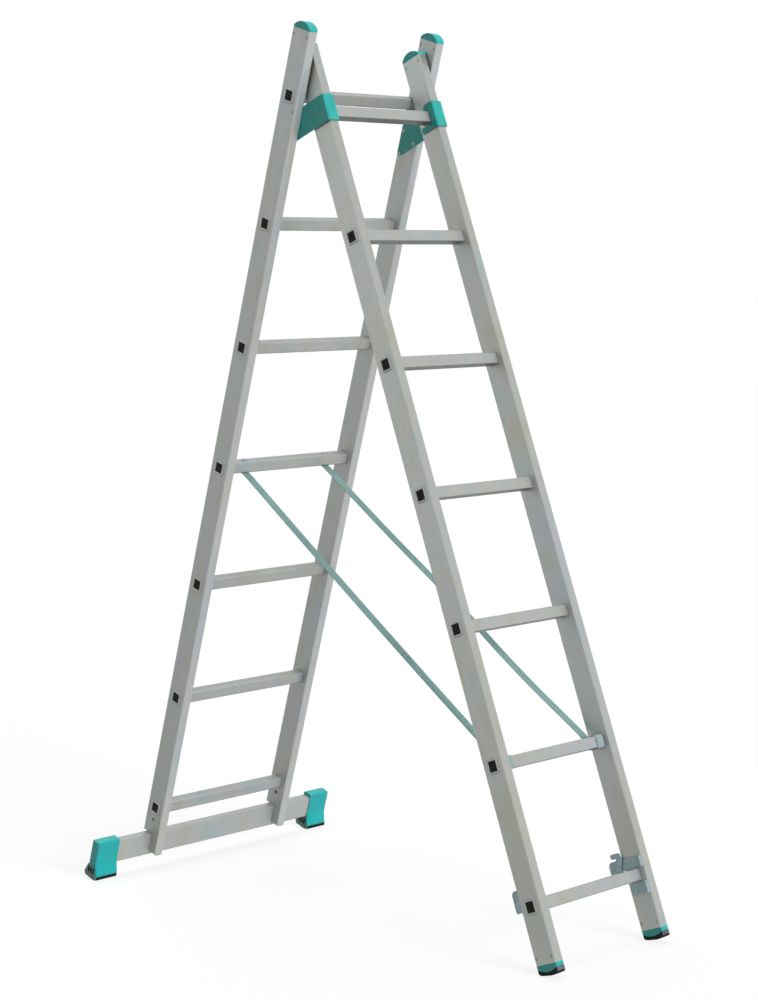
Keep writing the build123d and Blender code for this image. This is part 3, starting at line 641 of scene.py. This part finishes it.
def make_run(side, start_x, end_x):
    """The tape from the rear rung to the seam on its loop."""
    start, end, route = strap_route(start_x, end_x, run_ripples[side])
    points = spline_points(f"strap_line_{side}", route, run_steps)
    run = sweep_tape(f"strap_run_{side}", points, False, materials["webbing"])
    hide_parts(f"strap_{side}")
    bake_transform(run)


def make_loop(side, loop_x):
    """The loop of tape round the front rung."""
    seat = front.rung(strap_front_rung)
    ring = []
    for step in range(loop_steps):
        rear, along = rounded(2 * pi * step / loop_steps, loop_power)
        ring.append(front.point(loop_x, rear * loop_half, seat + along * loop_half))
    loop = sweep_tape(f"strap_loop_{side}", ring, True, materials["loop"])
    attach(loop, "front")


for side in sides:
    start_x, loop_x = strap_spread(side)
    make_run(side, start_x, loop_x + run_shifts[side])
    make_loop(side, loop_x)


# Floor, light and camera


def white_rays(tree):
    """1 for the rays that see the background as white: camera, glossy and transmission rays."""
    path = tree.nodes.new("ShaderNodeLightPath")
    total = path.outputs["Is Camera Ray"]
    for ray in ("Is Glossy Ray", "Is Transmission Ray"):
        joined = tree.nodes.new("ShaderNodeMath")
        joined.operation = "MAXIMUM"
        tree.links.new(total, joined.inputs[0])
        tree.links.new(path.outputs[ray], joined.inputs[1])
        total = joined.outputs["Value"]
    return total


def floor_material():
    """Pale floor that is white to the camera where light reaches it, and keeps the shadow."""
    material = bpy.data.materials.new("pale_floor")
    material.use_nodes = True
    tree = material.node_tree
    tree.nodes.clear()
    output = tree.nodes.new("ShaderNodeOutputMaterial")
    matt = tree.nodes.new("ShaderNodeBsdfDiffuse")
    matt.inputs["Color"].default_value = (floor_tone, floor_tone, floor_tone, 1)
    glow = tree.nodes.new("ShaderNodeEmission")
    lift = tree.nodes.new("ShaderNodeMath")
    lift.operation = "MULTIPLY"
    lift.inputs[1].default_value = floor_glow
    tree.links.new(white_rays(tree), lift.inputs[0])
    tree.links.new(lift.outputs["Value"], glow.inputs["Strength"])
    both = tree.nodes.new("ShaderNodeAddShader")
    tree.links.new(matt.outputs["BSDF"], both.inputs[0])
    tree.links.new(glow.outputs["Emission"], both.inputs[1])
    tree.links.new(both.outputs["Shader"], output.inputs["Surface"])
    return material


def make_floor():
    half = floor_size / 2
    data = bpy.data.meshes.new("floor")
    corners = [(-half, -half, 0), (half, -half, 0), (half, half, 0), (-half, half, 0)]
    data.from_pydata(corners, [], [(0, 1, 2, 3)])
    data.materials.append(floor_material())
    floor = bpy.data.objects.new("floor", data)
    bpy.context.scene.collection.objects.link(floor)


def make_world():
    world = bpy.data.worlds.new("studio")
    world.use_nodes = True
    tree = world.node_tree
    tree.nodes.clear()
    output = tree.nodes.new("ShaderNodeOutputWorld")
    background = tree.nodes.new("ShaderNodeBackground")
    background.inputs["Color"].default_value = (1, 1, 1, 1)
    strength = tree.nodes.new("ShaderNodeMapRange")
    strength.inputs["To Min"].default_value = sky_light
    strength.inputs["To Max"].default_value = white_light
    tree.links.new(white_rays(tree), strength.inputs["Value"])
    tree.links.new(strength.outputs["Result"], background.inputs["Strength"])
    tree.links.new(background.outputs["Background"], output.inputs["Surface"])
    bpy.context.scene.world = world


def make_lamp(name, source, spread, strength, colour, mirrored):
    """A far soft lamp, whose light comes from the direction of a point."""
    data = bpy.data.lights.new(name, "SUN")
    data.angle = radians(spread)
    data.energy = strength
    data.color = colour
    lamp = bpy.data.objects.new(name, data)
    lamp.location = source
    lamp.rotation_euler = (-Vector(source)).to_track_quat("-Z", "Y").to_euler()
    lamp.visible_glossy = mirrored
    bpy.context.scene.collection.objects.link(lamp)


def make_camera():
    data = bpy.data.cameras.new("camera")
    data.lens = camera_lens
    data.shift_x, data.shift_y = camera_shift
    camera = bpy.data.objects.new("camera", data)
    camera.location = camera_place
    camera.rotation_euler = [radians(angle) for angle in camera_turn]
    bpy.context.scene.collection.objects.link(camera)
    bpy.context.scene.camera = camera


make_floor()
make_world()
make_lamp("key", key_source, key_spread, key_light, key_colour, mirrored=False)
make_lamp("top", top_source, top_spread, top_light, top_colour, mirrored=True)
make_camera()
bpy.context.scene.view_settings.view_transform = "Standard"
